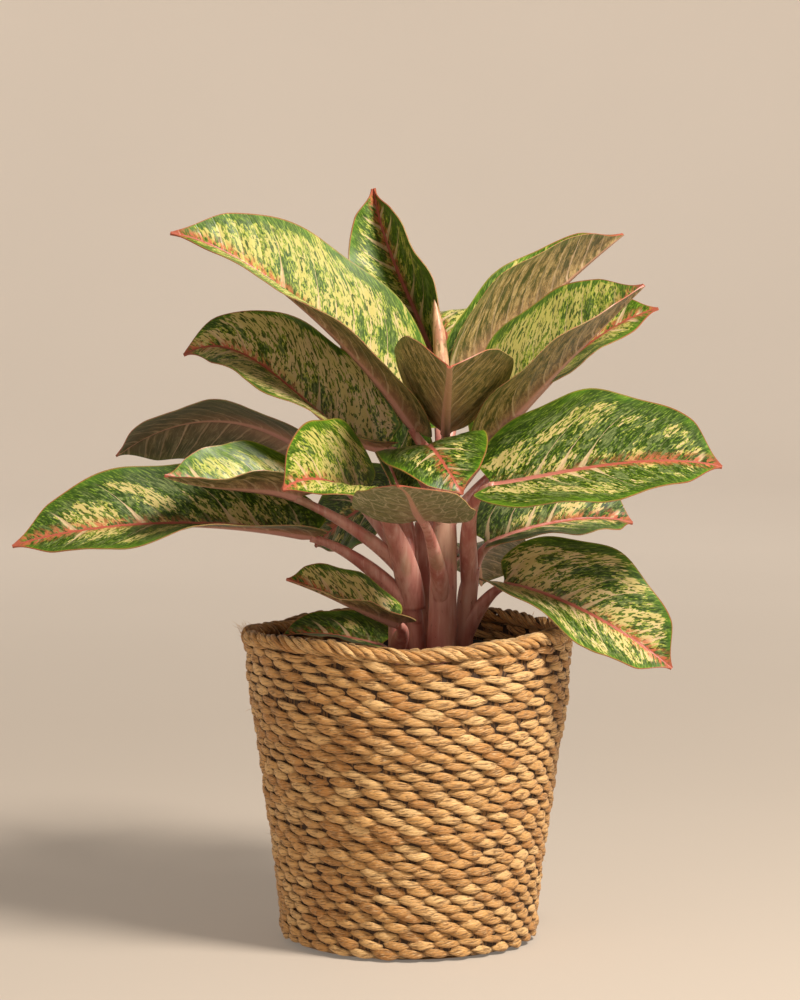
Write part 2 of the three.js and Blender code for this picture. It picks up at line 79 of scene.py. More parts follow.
# Radius of a leaf stalk where it leaves its cane, and of those that are broader or narrower there
SHEATH = 6.4
BROAD_SHEATHS = {"front_left": 9.5, "long_left": 7.6, "right_low": 7.2, "in_basket": 4.2}

# name: shoot, height where the stalk leaves it, four points on the rib, width, left half, right half,
# height of the waves, their phase, how much of the blade is splashed with cream, and how yellow-green
# it is. A half has its slope at the base and at the tip, and how much it curls, in degrees.
LEAVES = {
    "crown_back": ("center", 365, ((21, 35, 420), (5, 52, 464), (-13, 66, 506), (-27, 78, 556)), 88,
                   (-12, -12, 0), (100, 100, 30), 2.5, 0.3, 0.4, 0.5),
    "upper_left": ("center", 340, ((5, -5, 379), (-42, -12, 439), (-108, -18, 496), (-174, -24, 526)), 108,
                   (28, -10, -10), (72, 72, 0), 2.5, 1.2, 0.6, 0.7),
    "mid_left": ("center", 310, ((-15, -2, 367), (-64, 2, 390), (-114, 6, 431), (-167, 8, 435)), 104,
                 (25, -25, -10), (78, 50, 0), 2.5, 2.0, 0.85, 0.25),
    "inner_left": ("mid", 280, ((-6, 24, 328), (-21, 42, 364), (-37, 58, 402), (-51, 68, 442)), 78,
                   (40, 40, -10), (50, 50, -10), 1.5, 0.4, 0.1, 0.2),
    "dark_left": ("mid", 270, ((-65, 35, 353), (-116, 50, 380), (-170, 60, 381), (-222, 66, 355)), 92,
                  (28, 12, 0), (-55, -55, 0), 2.5, 0.8, 0.15, 0.0),
    "long_left": ("mid", 235, ((-69, -5, 301), (-142, -12, 311), (-219, -18, 310), (-292, -22, 296)), 100,
                  (22, -32, 0), (62, 62, 0), 3.0, 1.5, 0.34, 0.1),
    "small_left": ("mid", 262, ((-80, -25, 332), (-110, -38, 340), (-143, -50, 344), (-177, -58, 352)), 76,
                   (36, 5, 0), (62, 50, 0), 1.5, 0.2, 0.45, 0.9),
    "front_left": ("mid", 246, ((-30, -43, 335), (-49, -70, 345), (-69, -100, 353), (-89, -128, 348)), 95,
                   (14, -25, 0), (82, 82, 0), 2.0, 0.9, 0.6, 0.6),
    "front": ("center", 240, ((10, -74, 321), (4, -109, 333), (0, -142, 346), (-8, -172, 356)), 88,
              (-2, -2, 0), (-3, 3, 0), 2.0, 2.4, 0.3, 0.2),
    # Its cream and yellow-green are set low partly as painted shade, since this leaf hangs in shade.
    "front_right": ("center", 296, ((12, -28, 366), (15, -64, 374), (25, -104, 364), (38, -124, 344)), 80,
                    (15, 15, 0), (-8, -8, 0), 1.5, 0.6, 0.0, 0.0),
    "crown_front": ("center", 330, ((27, -18, 378), (27, -62, 399), (28, -106, 420), (28, -150, 437)), 114,
                    (33, 33, 0), (49, 49, 0), 2.0, 1.0, 0.7, 0.7),
    "upper_right_back": ("center", 360, ((44, 28, 415), (83, 52, 454), (120, 72, 488), (162, 86, 522)), 92,
                         (40, 40, 0), (85, 50, 0), 2.0, 0.0, 0.7, 0.5),
    "upper_right": ("center", 320, ((62, -4, 370), (95, -18, 412), (131, -30, 450), (170, -40, 489)), 108,
                    (76, 76, 0), (22, 0, 0), 2.0, 2.6, 0.7, 0.75),
    "upper_right_low": ("center", 335, ((68, 34, 376), (105, 32, 415), (141, 28, 447), (185, 22, 469)), 88,
                        (50, 40, 0), (10, -25, 0), 2.0, 1.7, 0.45, 0.6),
    "right_big": ("right", 262, ((59, -30, 342), (110, -42, 352), (168, -52, 361), (227, -58, 358)), 116,
                  (68, 68, 0), (-15, -25, 0), 2.5, 0.5, 0.35, 0.1),
    # Its cream and yellow-green are set low partly as painted shade, since this leaf hangs in the shade of
    # right_big.
    "right_mid": ("right", 242, ((58, 32, 291), (92, 44, 302), (132, 55, 308), (170, 64, 304)), 92,
                  (78, 70, 0), (8, -15, 0), 2.0, 1.1, 0.0, 0.0),
    "right_low": ("right", 218, ((70, 0, 265), (97, -20, 261), (140, -40, 244), (192, -55, 210)), 100,
                  (70, 65, -5), (15, -28, 0), 2.5, 0.1, 0.6, 0.1),
    "low_left": ("left", 215, ((-7, -45, 242), (-31, -58, 253), (-59, -70, 267), (-88, -80, 279)), 62,
                 (20, -10, 0), (50, 50, 0), 1.5, 0.4, 0.75, 0.1),
    # Its cream is set low partly as painted shade, since this leaf lies in shade inside the basket.
    "in_basket": ("left", 204, ((-20, 0, 219), (-44, 6, 224), (-70, 10, 227), (-96, 12, 224)), 56,
                  (5, 5, 0), (40, 30, 0), 1.0, 0.7, 0.0, 0.1),
    "behind_left": ("mid", 262, ((-14, 56, 325), (-32, 66, 317), (-52, 74, 303), (-72, 80, 284)), 76,
                    (-45, -45, 0), (60, 60, 0), 1.5, 0.9, 0.0, 0.0),
    "back_top": ("back", 300, ((34, 74, 396), (32, 110, 430), (24, 148, 452), (12, 186, 456)), 90,
                 (30, 10, -10), (30, 10, -10), 2.0, 0.5, 0.8, 0.6),
    "back_left": ("back", 270, ((2, 100, 352), (-38, 126, 366), (-76, 152, 362), (-108, 178, 342)), 88,
                  (25, 5, -10), (35, 10, -10), 2.0, 1.4, 0.5, 0.2),
    "back_right": ("back", 262, ((66, 76, 344), (96, 104, 358), (122, 134, 360), (142, 168, 346)), 90,
                   (30, 5, -10), (25, 5, -10), 2.0, 2.2, 0.45, 0.1),
    "back_low": ("back", 232, ((34, 78, 276), (46, 114, 280), (54, 150, 268), (58, 182, 242)), 84,
                 (25, 5, -10), (25, 5, -10), 2.0, 0.0, 0.3, 0.0),
}


# Small helpers

def lerp(a, b, t):
    return a + (b - a) * t


def clamp(x, low=0.0, high=1.0):
    return max(low, min(high, x))


def smoothstep(x, low, high):
    x = clamp((x - low) / (high - low))
    return x * x * (3 - 2 * x)


def look_up(table, x):
    i = 0
    while i < len(table) - 2 and x > table[i + 1][0]:
        i += 1
    (x0, y0), (x1, y1) = table[i], table[i + 1]
    return y0 + (y1 - y0) * (x - x0) / (x1 - x0)


def bezier(controls, u):
    """Point of the curve that four points control."""
    a, b, c, d = controls
    v = 1 - u
    return v**3 * a + 3 * v * v * u * b + 3 * v * u * u * c + u**3 * d


def circle(count):
    """Angles at even steps round a circle."""
    return [TAU * j / count for j in range(count)]


def rim_rise(angle):
    count = len(RIM_RISE)
    turns = (angle / TAU) % 1 * count
    i = int(turns)
    return lerp(RIM_RISE[i % count], RIM_RISE[(i + 1) % count], (1 - math.cos(math.pi * (turns - i))) / 2)


def wall_height(z, angle):
    return z + rim_rise(angle) * smoothstep(z, LEVEL_HEIGHT, WALL_TOP)


class Sheet:
    """Points in millimetres and faces, with UV maps, gathered into one mesh."""

    def __init__(self, *layers):
        self.points, self.faces, self.slots = [], [], []
        self.layers = {layer: [] for layer in layers}

    def add(self, point, *coordinates):
        self.points.append(tuple(point))
        for values, pair in zip(self.layers.values(), coordinates):
            values.append(pair)
        return len(self.points) - 1

    def face(self, corners, slot=0):
        self.faces.append(corners)
        self.slots.append(slot)

    def ring(self, radius, z, sides):
        """Points round a level circle."""
        return [self.add((radius * math.cos(turn), radius * math.sin(turn), z)) for turn in circle(sides)]

    def grid(self, rows, closed=False, flip=False, slot=0):
        """Faces between rows of indices; closed joins each row's last point to its first."""
        for low, high in zip(rows, rows[1:]):
            count = len(low)
            for j in range(count if closed else count - 1):
                k = (j + 1) % count
                corners = (low[j], low[k], high[k], high[j])
                self.face(corners[::-1] if flip else corners, slot)

    def link(self, name, materials):
        mesh = bpy.data.meshes.new(name)
        mesh.from_pydata([(x * MM, y * MM, z * MM) for x, y, z in self.points], [], self.faces)
        corners = [i for face in self.faces for i in face]
        for layer, values in self.layers.items():
            flat = [number for i in corners for number in values[i]]
            mesh.uv_layers.new(name=layer).data.foreach_set("uv", flat)
        mesh.polygons.foreach_set("use_smooth", [True] * len(self.faces))
        mesh.polygons.foreach_set("material_index", self.slots)
        for material in materials:
            mesh.materials.append(material)
        piece = bpy.data.objects.new(name, mesh)
        bpy.context.collection.objects.link(piece)
        return piece

    def make(self, name, materials, replaced):
        piece = self.link(name, materials)
        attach(piece, "root")
        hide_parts(*replaced)
        return piece


class Graph:
    """A material's node tree, built from nested calls."""

    def __init__(self, name):
        self.material = bpy.data.materials.new(name)
        self.material.use_nodes = True
        self.tree = self.material.node_tree
        self.shader = self.tree.nodes["Principled BSDF"]

    def feed(self, socket, value):
        if isinstance(value, bpy.types.NodeSocket):
            self.tree.links.new(value, socket)
        else:
            socket.default_value = value

    def add(self, kind, values, **settings):
        node = self.tree.nodes.new(kind)
        for key, value in settings.items():
            setattr(node, key, value)
        for key, value in values.items():
            self.feed(node.inputs[key], value)
        return node

    def math(self, operation, a, b=0.0):
        return self.add("ShaderNodeMath", {0: a, 1: b}, operation=operation).outputs[0]

    def times(self, a, b):
        return self.math("MULTIPLY", a, b)

    def plus(self, a, b):
        return self.math("ADD", a, b)

    def smooth(self, x, low, high, start=0.0, end=1.0):
        values = {"Value": x, "From Min": low, "From Max": high, "To Min": start, "To Max": end}
        return self.add("ShaderNodeMapRange", values, interpolation_type="SMOOTHSTEP").outputs[0]

    def mix(self, share, a, b):
        a = (*a, 1) if isinstance(a, tuple) else a
        b = (*b, 1) if isinstance(b, tuple) else b
        return self.add("ShaderNodeMix", {0: share, 6: a, 7: b}, data_type="RGBA").outputs[2]

    def noise(self, vector, scale, detail=2.0, roughness=0.5, distortion=0.0):
        values = {"Vector": vector, "Scale": scale, "Detail": detail, "Roughness": roughness,
                  "Distortion": distortion}
        return self.add("ShaderNodeTexNoise", values).outputs["Fac"]

    def uv(self, layer):
        return self.add("ShaderNodeUVMap", {}, uv_map=layer).outputs[0]

    def split(self, vector):
        return self.add("ShaderNodeSeparateXYZ", {0: vector}).outputs[:]

    def stretch(self, vector, x, y, z=1.0):
        return self.add("ShaderNodeMapping", {"Vector": vector, "Scale": (x, y, z)}).outputs[0]

    def place(self):
        return self.add("ShaderNodeTexCoord", {}).outputs["Object"]

    def bump(self, height, strength, distance):
        values = {"Height": height, "Strength": strength, "Distance": distance}
        self.feed(self.shader.inputs["Normal"], self.add("ShaderNodeBump", values).outputs[0])

    def finish(self, colour, roughness, **fixed):
        self.feed(self.shader.inputs["Base Color"], (*colour, 1) if isinstance(colour, tuple) else colour)
        self.feed(self.shader.inputs["Roughness"], roughness)
        for key, value in fixed.items():
            self.shader.inputs[key.replace("_", " ")].default_value = value
        return self.material


# Leaf materials

# The "vein" map runs out along the side veins and across them, the "edge" map holds the distances
# from the rib and from the margin, all in units of 100 mm. The "span" map holds the share of the
# blade's length and how much cream the blade has, and the "tone" map how yellow-green it is.
VEIN_SPACING = 0.17


def side_veins(g, across, wander):
    """Distance from the nearest side vein, and a random number for each vein."""
    turns = g.math("DIVIDE", across, VEIN_SPACING)
    number = {"W": g.math("FLOOR", turns)}
    luck = g.add("ShaderNodeTexWhiteNoise", number, noise_dimensions="1D").outputs[0]
    off = g.plus(g.math("SUBTRACT", g.math("FRACT", turns), 0.5), wander)
    return g.times(g.math("ABSOLUTE", off), VEIN_SPACING), luck


def leaf_top():
    """The upper face: greens, then windows, splashes, flecks, side veins and the red rib over them."""
    g = Graph("leaf_top")
    vein = g.uv("vein")
    _, across, _ = g.split(vein)
    rib, margin, _ = g.split(g.uv("edge"))
    share, pale, _ = g.split(g.uv("span"))
    lime, _, _ = g.split(g.uv("tone"))
    broad = g.noise(vein, 3.8, 1.0)
    clumps = g.noise(g.stretch(vein, 0.8, 1.5), 8.5, 3.0, 0.62, 0.8)
    flecks = g.noise(g.stretch(vein, 1.0, 1.8), 16.0, 3.0, 0.6, 0.5)
    grain = g.noise(g.stretch(vein, 1.0, 1.9), 29.0, 3.0, 0.6, 0.3)
    inner = g.smooth(margin, 0.0, g.smooth(pale, 0.2, 0.9, 0.19, 0.08))
    inner = g.times(inner, g.smooth(share, 1.0, 0.8, 0.3, 1.0))

    # Greens: dark with lighter flecks, brighter towards the margin and on the young leaves
    green = g.mix(g.smooth(grain, 0.36, 0.7), (0.014, 0.034, 0.002), (0.055, 0.12, 0.004))
    young = g.mix(g.smooth(grain, 0.34, 0.66), (0.035, 0.09, 0.003), (0.15, 0.26, 0.01))
    colour = g.mix(g.times(lime, 0.8), green, young)
    glow = g.times(g.smooth(margin, 0.1, 0.0), g.smooth(broad, 0.42, 0.6, 0.1, 0.8))
    bright = g.mix(g.smooth(flecks, 0.4, 0.6), (0.05, 0.15, 0.006), (0.12, 0.26, 0.01))
    colour = g.mix(glow, colour, bright)
    colour = g.mix(g.smooth(grain, 0.57, 0.61, 0.0, 0.75), colour, (0.19, 0.29, 0.025))
    colour = g.mix(g.smooth(margin, 0.014, 0.004, 0.0, 0.55), colour, (0.24, 0.34, 0.03))

    # Grey-green windows, then yellow-green and cream splashes with ragged ends
    window = g.noise(g.stretch(vein, 0.9, 1.5), 10.0, 5.0, 0.7, 0.8)
    window = g.times(g.smooth(window, 0.505, 0.53), g.times(inner, 0.85))
    window = g.times(window, g.smooth(lime, 1.0, 0.0, 0.3, 1.0))
    grey_green = g.mix(g.smooth(grain, 0.4, 0.6), (0.08, 0.12, 0.035), (0.2, 0.25, 0.085))
    colour = g.mix(window, colour, grey_green)
    cover = g.plus(g.times(clumps, 0.4), g.times(flecks, 0.36))
    cover = g.plus(cover, g.times(grain, 0.24))
    cover = g.plus(cover, g.times(g.math("SUBTRACT", broad, 0.5), 0.6))
    cover = g.plus(cover, g.smooth(pale, 0.0, 1.0, -0.09, 0.08))
    cover = g.plus(cover, g.smooth(inner, 0.0, 1.0, -0.16, 0.005))
    cover = g.plus(cover, g.smooth(rib, 0.09, 0.0, 0.0, -0.035))
    halo = g.smooth(g.plus(cover, g.times(lime, 0.035)), 0.488, 0.508)
    yellow_green = g.mix(g.smooth(grain, 0.4, 0.6), (0.19, 0.27, 0.02), (0.42, 0.46, 0.07))
    colour = g.mix(halo, colour, yellow_green)
    yellow = g.times(g.times(lime, 0.9), g.smooth(share, 0.12, 0.6, 0.25, 1.0))
    cream = g.mix(g.smooth(broad, 0.42, 0.62), (0.62, 0.47, 0.27), (0.56, 0.46, 0.18))
    cream = g.mix(yellow, cream, (0.45, 0.46, 0.08))
    splash = g.smooth(cover, 0.508, 0.525)
    colour = g.mix(splash, colour, cream)
    fleck = g.noise(g.stretch(vein, 1.0, 1.8), 19.0, 2.0, 0.55, 0.4)
    fleck = g.plus(fleck, g.smooth(share, 0.0, 1.0, 0.0, 0.04))
    fleck = g.smooth(fleck, 0.545, 0.575, 0.0, 0.95)
    dark = g.mix(g.smooth(grain, 0.42, 0.58), (0.02, 0.046, 0.004), (0.1, 0.17, 0.01))
    colour = g.mix(g.times(fleck, splash), colour, dark)

    # Side veins: pale lines that broaden into wedges where they meet the rib
    wander = g.times(g.math("SUBTRACT", flecks, 0.5), 0.12)
    off, luck = side_veins(g, across, wander)
    wedge = g.times(g.smooth(rib, 0.2, 0.0), g.times(luck, 0.03))
    reach = g.plus(wedge, g.smooth(rib, 0.42, 0.0, 0.0015, 0.006))
    line = g.times(g.smooth(g.math("DIVIDE", off, reach), 1.0, 0.6), g.smooth(luck, 0.2, 0.5))
    line = g.times(line, g.smooth(margin, 0.05, 0.16))
    colour = g.mix(g.times(line, 0.75), colour, (0.68, 0.5, 0.3))

    # Rib: red, with a flush on both sides that grows towards the tip
    flush = g.times(g.smooth(rib, 0.1, 0.0), g.smooth(flecks, 0.44, 0.58))
    flush = g.times(flush, g.smooth(share, 0.25, 0.8, 0.25, 1.0))
    colour = g.mix(flush, colour, (0.5, 0.13, 0.06))
    rib_reach = g.plus(g.smooth(share, 0.0, 1.0, 0.019, 0.008), g.times(wander, 0.1))
    rib_mask = g.smooth(g.math("DIVIDE", rib, rib_reach), 1.2, 0.75)
    rib_colour = g.mix(g.smooth(share, 0.0, 0.6), (0.55, 0.22, 0.17), (0.38, 0.09, 0.055))
    colour = g.mix(rib_mask, colour, rib_colour)
    tip = g.times(g.smooth(margin, 0.012, 0.004), g.smooth(share, 0.3, 0.95, 0.25, 1.0))
    colour = g.mix(tip, colour, (0.3, 0.09, 0.03))
    colour = g.mix(g.smooth(share, 0.95, 0.985), colour, (0.36, 0.09, 0.05))

    groove = g.times(g.smooth(off, 0.014, 0.0), g.smooth(rib, 0.45, 0.05))
    ridges = g.noise(g.stretch(vein, 1.0, 6.0), 14.0, 3.0, 0.6)
    height = g.math("SUBTRACT", g.times(ridges, 0.6), g.times(groove, 0.6))
    g.bump(height, 0.45, 0.0006)
    return g.finish(colour, g.smooth(grain, 0.3, 0.7, 0.34, 0.48),
                    Coat_Weight=0.04, Coat_Roughness=0.25, Specular_IOR_Level=0.36)


def leaf_under(name, netted):
    """The lower face: olive to tan, mottled, with pale side veins and, on one leaf, a pale net."""
    g = Graph(name)
    vein = g.uv("vein")
    _, across, _ = g.split(vein)
    rib, margin, _ = g.split(g.uv("edge"))
    share, pale, _ = g.split(g.uv("span"))
    broad = g.noise(vein, 4.0, 1.0)
    clumps = g.noise(g.stretch(vein, 1.0, 1.9), 9.0, 4.0, 0.65, 0.6)
    flecks = g.noise(g.stretch(vein, 1.0, 2.3), 24.0, 4.0, 0.7, 0.3)
    fibre = g.noise(g.stretch(vein, 0.5, 6.0), 12.0, 3.0, 0.6, 0.3)

    colour = g.mix(g.smooth(broad, 0.36, 0.64), (0.1, 0.09, 0.028), (0.06, 0.07, 0.02))
    colour = g.mix(g.smooth(pale, 0.2, 0.8, 0.0, 0.85), colour, (0.3, 0.21, 0.065))
    tan = g.plus(g.times(clumps, 0.6), g.times(flecks, 0.4))
    patch = g.mix(g.smooth(pale, 0.0, 0.6), (0.13, 0.13, 0.055), (0.54, 0.4, 0.17))
    colour = g.mix(g.smooth(tan, 0.51, 0.56, 0.0, 0.75), colour, patch)
    colour = g.mix(g.smooth(tan, 0.495, 0.45, 0.0, 0.92), colour, (0.045, 0.06, 0.008))
    fleck = g.smooth(flecks, 0.54, 0.6, 0.0, 0.8)
    colour = g.mix(fleck, colour, (0.055, 0.055, 0.014))
    blush = g.times(g.smooth(rib, 0.26, 0.0), g.smooth(share, 0.8, 0.0, 0.1, 0.8))
    colour = g.mix(blush, colour, (0.42, 0.2, 0.13))
    colour = g.mix(g.smooth(margin, 0.07, 0.0, 0.0, 0.6), colour, (0.1, 0.13, 0.025))
    colour = g.mix(g.smooth(fibre, 0.54, 0.66, 0.0, 0.45), colour, (0.42, 0.33, 0.18))

    wander = g.times(g.math("SUBTRACT", clumps, 0.5), 0.3)
    off, luck = side_veins(g, across, wander)
    line = g.smooth(g.math("DIVIDE", off, g.smooth(rib, 0.5, 0.0, 0.004, 0.016)), 1.0, 0.3)
    line = g.times(line, g.smooth(luck, 0.0, 0.9, 0.3, 0.9))
    line = g.times(line, g.smooth(pale, 0.0, 0.6, 0.7, 1.0))
    colour = g.mix(line, colour, (0.58, 0.42, 0.26))
    if netted:
        net = g.add("ShaderNodeTexVoronoi", {"Vector": g.stretch(vein, 1.0, 1.5), "Scale": 10.0},
                    feature="DISTANCE_TO_EDGE").outputs["Distance"]
        net = g.plus(net, g.times(g.math("SUBTRACT", flecks, 0.5), 0.3))
        colour = g.mix(0.6, colour, (0.2, 0.2, 0.09))
        colour = g.mix(g.smooth(net, 0.08, 0.0, 0.0, 0.75), colour, (0.5, 0.42, 0.26))

    keel = g.smooth(g.math("DIVIDE", rib, g.smooth(share, 0.0, 1.0, 0.034, 0.012)), 1.15, 0.65)
    keel_colour = g.mix(g.smooth(share, 0.0, 0.8), (0.6, 0.29, 0.24), (0.5, 0.27, 0.17))
    colour = g.mix(g.times(keel, 0.9), colour, keel_colour)

    height = g.plus(g.times(line, 0.8), g.times(fibre, 0.5))
    g.bump(height, 0.5, 0.0008)
    return g.finish(colour, g.smooth(flecks, 0.3, 0.7, 0.42, 0.56))


def leaf_margin():
    """The thin edge between both faces, redder towards the tip."""
    g = Graph("leaf_margin")
    share, _, _ = g.split(g.uv("span"))
    blotch = g.noise(g.uv("vein"), 30.0, 3.0, 0.7)
    colour = g.mix(g.smooth(blotch, 0.4, 0.6), (0.33, 0.27, 0.09), (0.36, 0.15, 0.07))
    colour = g.mix(g.smooth(share, 0.7, 1.0), colour, (0.34, 0.08, 0.04))
    g.bump(blotch, 0.2, 0.0003)
    return g.finish(colour, 0.45)


# Leaves

BLADE_ROWS = 60
BLADE_COLUMNS = 15
BLADE_THICKNESS = 0.75
RIB_SAMPLES = 80
FOLD_STEPS = 6

# The rib lies in a channel on the upper face and stands out as a keel below; between the side veins
# the blade swells by PUFF. Depths, then half widths.
CHANNEL = 1.1
KEEL = 2.3
PUFF = 0.55
CHANNEL_WIDTH = 2.2
KEEL_WIDTH = 2.4


class Blade:
    """The rule of a blade: its rib, the fold of both halves and the waves of the margin."""

    def __init__(self, name):
        (self.shoot, self.height, rib, self.width, self.left_half, self.right_half,
         self.wave, self.phase, self.pale, self.lime) = LEAVES[name]
        a, b, c, d = (Vector(p) for p in rib)
        self.controls = (a, -5 / 6 * a + 3 * b - 1.5 * c + d / 3, a / 3 - 1.5 * b + 3 * c - 5 / 6 * d, d)
        self.chord = d - a
        marks = [bezier(self.controls, i / RIB_SAMPLES) for i in range(RIB_SAMPLES + 1)]
        self.lengths = [0.0]
        for p, q in zip(marks, marks[1:]):
            self.lengths.append(self.lengths[-1] + (q - p).length)
        self.length = self.lengths[-1]

    def frame(self, t):
        """Point on the rib at the share t of its length, with the ways along, left and up."""
        goal = t * self.length
        i = 0
        while i < RIB_SAMPLES - 1 and self.lengths[i + 1] < goal:
            i += 1
        u = (i + (goal - self.lengths[i]) / (self.lengths[i + 1] - self.lengths[i])) / RIB_SAMPLES
        a, b, c, d = self.controls
        v = 1 - u
        along = (3 * v * v * (b - a) + 6 * v * u * (c - b) + 3 * u * u * (d - c)).normalized()
        level = Vector((-self.chord.y, self.chord.x, 0)).normalized()
        left = (level - along * level.dot(along)).normalized()
        return bezier(self.controls, u), along, left, along.cross(left)

    def half_width(self, t):
        """Half the blade's width: broadest before the middle, drawn out to a cusp at the tip."""
        def shape(x):
            return x**0.5 * (1 - x) ** 0.7

        broadest = 0.5 / 1.2
        cusp = 1 - 0.65 * smoothstep(t, 0.86, 1)
        outline = self.width / 2 * shape(t) / shape(broadest) * cusp
        return max(outline, BASE_HALF_WIDTH if t < 0.5 else 0.8)

    def point(self, t, s, frame_at):
        """Point of the blade; s runs from -1 at the right margin over the rib to 1 at the left."""
        place, along, left, up = frame_at
        base, tip, curl = self.left_half if s > 0 else self.right_half
        reach = abs(s)
        out = lift = 0.0
        for k in range(FOLD_STEPS):
            slope = math.radians(lerp(base, tip, t) + curl * (k + 0.5) / FOLD_STEPS * reach)
            out += math.cos(slope) * reach / FOLD_STEPS
            lift += math.sin(slope) * reach / FOLD_STEPS
        size = self.half_width(t)
        beyond = clamp((size * reach - BASE_HALF_WIDTH) / LOBE)
        turn = TAU * WAVES * t + self.phase + (0 if s > 0 else 1.7)
        ripple = self.wave * math.sin(turn) * reach**2
        ripple *= math.sin(math.pi * t)
        sideways = left * (math.copysign(1, s) * out * size) + up * (lift * size + ripple)
        return place + sideways - along * (LOBE * reach * (1 - t) ** 5 * beyond)


def vein_coordinates(blade, t, s):
    """Distance out along a side vein and place across the side veins, in mm."""
    size = blade.half_width(t)
    y = abs(s) * size
    half = blade.width / 2
    across = t * blade.length - 0.75 * y - 0.5 * y**3 / half**2
    return y * 1.25, across


def make_leaf(name, index, top, under, edge):
    blade = Blade(name)
    sheet = Sheet("vein", "edge", "span", "tone")
    shares = []
    for i in range(BLADE_ROWS + 1):
        share = i / BLADE_ROWS
        shares.append(lerp(share, (1 - math.cos(math.pi * i / BLADE_ROWS)) / 2, 0.6))
    steps = []
    for j in range(BLADE_COLUMNS, -BLADE_COLUMNS - 1, -1):
        steps.append(math.copysign((abs(j) / BLADE_COLUMNS) ** 1.25, j))
    grid = []
    for t in shares:
        frame_at = blade.frame(t)
        grid.append([blade.point(t, s, frame_at) for s in steps])
    last, across = BLADE_ROWS, 2 * BLADE_COLUMNS
    tops, unders = [], []
    for i, t in enumerate(shares):
        size = blade.half_width(t)
        k = max(i, 1)
        middle = math.sin(math.pi * t)
        top_row, under_row = [], []
        for j, s in enumerate(steps):
            along = grid[min(k + 1, last)][j] - grid[k - 1][j]
            side = grid[k][min(j + 1, across)] - grid[k][max(j - 1, 0)]
            down = along.cross(side).normalized()
            y = abs(s) * size
            out, place = vein_coordinates(blade, t, s)
            half = 0.5 if s > 0 else 0.0
            turn = place / (100 * VEIN_SPACING) - 0.5 + half
            inside = smoothstep(y, 1.5, 9) * smoothstep(size - y, 0.0, 10) * smoothstep(t, 1.0, 0.85)
            puff = -PUFF * math.cos(TAU * turn) * inside
            channel = -CHANNEL * math.exp(-((y / CHANNEL_WIDTH) ** 2)) * (1 - 0.7 * t)
            channel *= smoothstep(t, 0.0, 0.05)
            drift = noise.noise(Vector((t * 4 + index * 7, s * 1.3, 3))) * 1.6 * abs(s) * middle
            nick = noise.noise(Vector((t * 17, s * 2, index * 5))) * 0.5 * abs(s) ** 4 * middle
            point = grid[i][j] - down * (puff + channel + drift + nick)
            keel = KEEL * math.exp(-((y / KEEL_WIDTH) ** 2)) * (1 - 0.72 * t)
            thick = BLADE_THICKNESS - channel + keel
            lane = VEIN_SPACING * (11 * index + half)
            maps = ((out / 100 + 3.0 * index, place / 100 + lane), (y / 100, (size - y) / 100),
                    (t, blade.pale), (blade.lime, 0))
            top_row.append(sheet.add(point, *maps))
            under_row.append(sheet.add(point + down * thick, *maps))
        tops.append(top_row)
        unders.append(under_row)
    sheet.grid(tops, slot=0)
    sheet.grid(unders, slot=1, flip=True)

    def outline(rows):
        """Copies of the points round the rows, so that the margin has its own maps."""
        ring = [row[0] for row in rows] + rows[-1][1:]
        ring += [row[-1] for row in rows[-2::-1]] + rows[0][-2:0:-1]
        return [sheet.add(sheet.points[i], *(values[i] for values in sheet.layers.values())) for i in ring]

    sheet.grid([outline(tops), outline(unders)], closed=True, slot=2)
    sheet.make(f"blade_{name}", [top, under, edge], [f"leaf_{name}"])


# Stalks

STALK_TIP = 3.3
STALK_STEPS = 30
SCARS = 5


def stalk_material():
    """Pink with pale and red streaks, darker towards the soil, with a few dark specks."""
    g = Graph("stalk")
    place = g.place()
    height = g.split(place)[2]
    grain = g.noise(g.stretch(place, 1.0, 1.0, 0.1), 260.0, 3.0, 0.6)
    broad = g.noise(g.stretch(place, 1.0, 1.0, 0.35), 60.0, 2.0, 0.5)
    speck = g.noise(g.stretch(place, 1.0, 1.0, 0.45), 420.0, 1.0, 0.4)
    colour = g.mix(g.smooth(broad, 0.35, 0.65), (0.47, 0.17, 0.14), (0.62, 0.32, 0.26))
    colour = g.mix(g.smooth(grain, 0.48, 0.66, 0.0, 0.5), colour, (0.36, 0.1, 0.085))
    colour = g.mix(g.smooth(grain, 0.44, 0.34, 0.0, 0.5), colour, (0.66, 0.42, 0.35))
    tint = g.noise(g.stretch(place, 1.0, 1.0, 0.5), 38.0, 1.0, 0.5)
    colour = g.mix(g.smooth(tint, 0.6, 0.7, 0.0, 0.45), colour, (0.34, 0.25, 0.14))
    colour = g.mix(g.smooth(height, 0.245, 0.19, 0.0, 0.45), colour, (0.3, 0.08, 0.06))
    colour = g.mix(g.smooth(speck, 0.73, 0.78, 0.0, 0.5), colour, (0.14, 0.04, 0.035))
    g.bump(g.plus(grain, g.times(broad, 0.5)), 0.25, 0.0008)
    return g.finish(colour, g.smooth(grain, 0.3, 0.7, 0.34, 0.5), Subsurface_Weight=0.06)


def tube(sheet, points, radius_at, sides, shape=lambda share, turn: 1.0, up=Vector((0, 0, 1))):
    """Tube through points; the turn of 0 faces up, radius_at takes the share of the length."""
    rows = []
    count = len(points)
    side = None
    for i, point in enumerate(points):
        ahead = (points[min(i + 1, count - 1)] - points[max(i - 1, 0)]).normalized()
        side = ahead.cross(up) if side is None else side - ahead * side.dot(ahead)
        side.normalize()
        over = side.cross(ahead)
        share = i / (count - 1)
        ring = []
        for turn in circle(sides):
            radius = radius_at(share) * shape(share, turn)
            offset = (over * math.cos(turn) + side * math.sin(turn)) * radius
            ring.append(sheet.add(point + offset))
        rows.append(ring)
    sheet.grid(rows, closed=True, flip=True)
    for ring, end, way in ((rows[0], points[0], 1), (rows[-1], points[-1], -1)):
        middle = sheet.add(end)
        for j in range(sides):
            pair = (ring[j], ring[(j + 1) % sides])
            sheet.face((middle, *pair[::way]))


